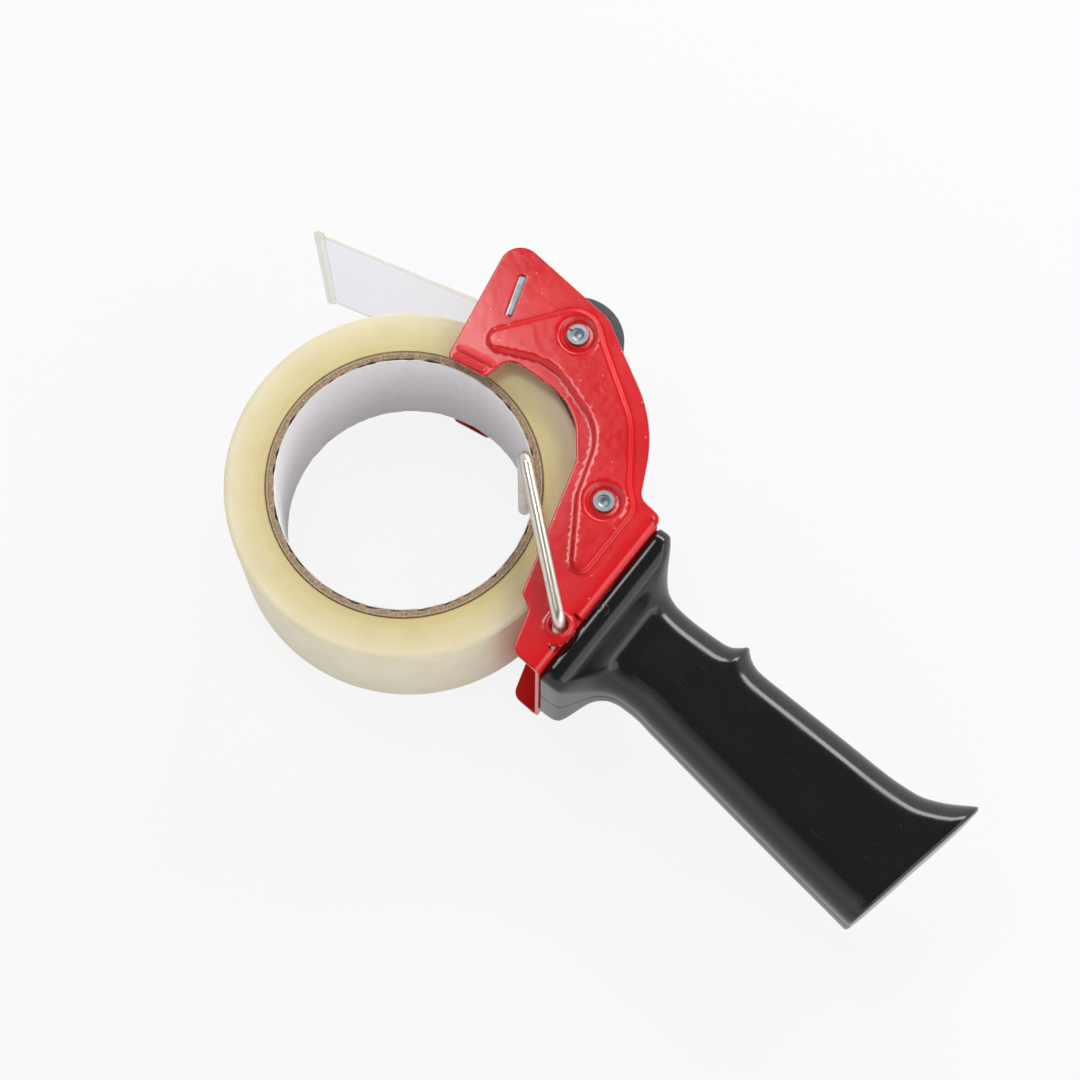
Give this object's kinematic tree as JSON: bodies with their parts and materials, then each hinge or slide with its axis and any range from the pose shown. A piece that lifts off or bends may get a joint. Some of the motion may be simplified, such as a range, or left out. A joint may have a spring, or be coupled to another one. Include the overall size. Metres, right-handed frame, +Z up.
{
  "type": "packing tape dispenser",
  "caption": "Hand-held packing tape dispenser with a pressed steel side frame, moulded pistol grip, rubber roller, toothed cutter, clear flap and a roll of tape on a wire bail.",
  "frame": {"origin": "centre of the part's box in X and Y, on the surface the part lies on; at that place the grip begins below the web", "axes": "lying on its side as stored: +Z up and along the roll's axis, +Y from the grip to the head, +X along the web towards the roller's side"},
  "size_m": [0.1328, 0.2598, 0.0661],
  "materials": {
    "red_enamel": "gloss",
    "black_moulding": "gloss",
    "screw_steel": "satin",
    "zinc_steel": "satin",
    "roller_rubber": "matte",
    "roller_moulding": "matte",
    "blade_steel": "satin",
    "clear_flap": "gloss",
    "wire_nickel": "satin",
    "tape_film": "satin",
    "core_board": "matte",
    "core_paper": "matte"
  },
  "bodies": {
    "dispenser": {"frame": "red_enamel", "handle_near_half": "black_moulding", "handle_far_half": "black_moulding", "handle_screws": "screw_steel", "roller_axle": "zinc_steel", "cross_pin": "zinc_steel", "roller_washers": "zinc_steel", "blade_holder": "zinc_steel", "cutter_blade": "blade_steel", "blade_rivets": "zinc_steel", "flap_retainer": "zinc_steel", "flap_rivets": "zinc_steel"},
    "bail": {"bail": "wire_nickel", "bail_washer": "zinc_steel"},
    "roll": {"tape_ring": "tape_film", "tape_core": "core_board", "core_liner": "core_paper"},
    "roller": {"roller_sleeve": "roller_rubber", "roller_core": "roller_moulding", "roller_bushes": "roller_moulding"},
    "guide": {"guide_sleeve": "zinc_steel"},
    "flap": {"flap": "clear_flap"}
  },
  "joints": [
    {"name": "bail_swing", "type": "hinge", "parent": "dispenser", "child": "bail", "pos_m": [-0.02033, -0.00251, 0.0314], "axis": [0, 0, 1], "range_deg": [0, 60]},
    {"name": "roll_spin", "type": "hinge", "parent": "bail", "child": "roll", "pos_m": [-0.01343, 0.06039, 0.0314], "axis": [0, 0, 1], "continuous": true},
    {"name": "roller_spin", "type": "hinge", "parent": "dispenser", "child": "roller", "pos_m": [0.05247, 0.04709, 0.0314], "axis": [0, 0, 1], "continuous": true},
    {"name": "guide_spin", "type": "hinge", "parent": "dispenser", "child": "guide", "pos_m": [0.01657, 0.00969, 0.0314], "axis": [0, 0, 1], "continuous": true},
    {"name": "flap_swing", "type": "hinge", "parent": "dispenser", "child": "flap", "pos_m": [0.04447, 0.07329, 0.0314], "axis": [0, 0, 1], "range_deg": [-8, 14]}
  ],
  "couplings": [
    {"joint": "roller_spin", "follows": "roll_spin", "ratio": -3.7993}
  ]
}
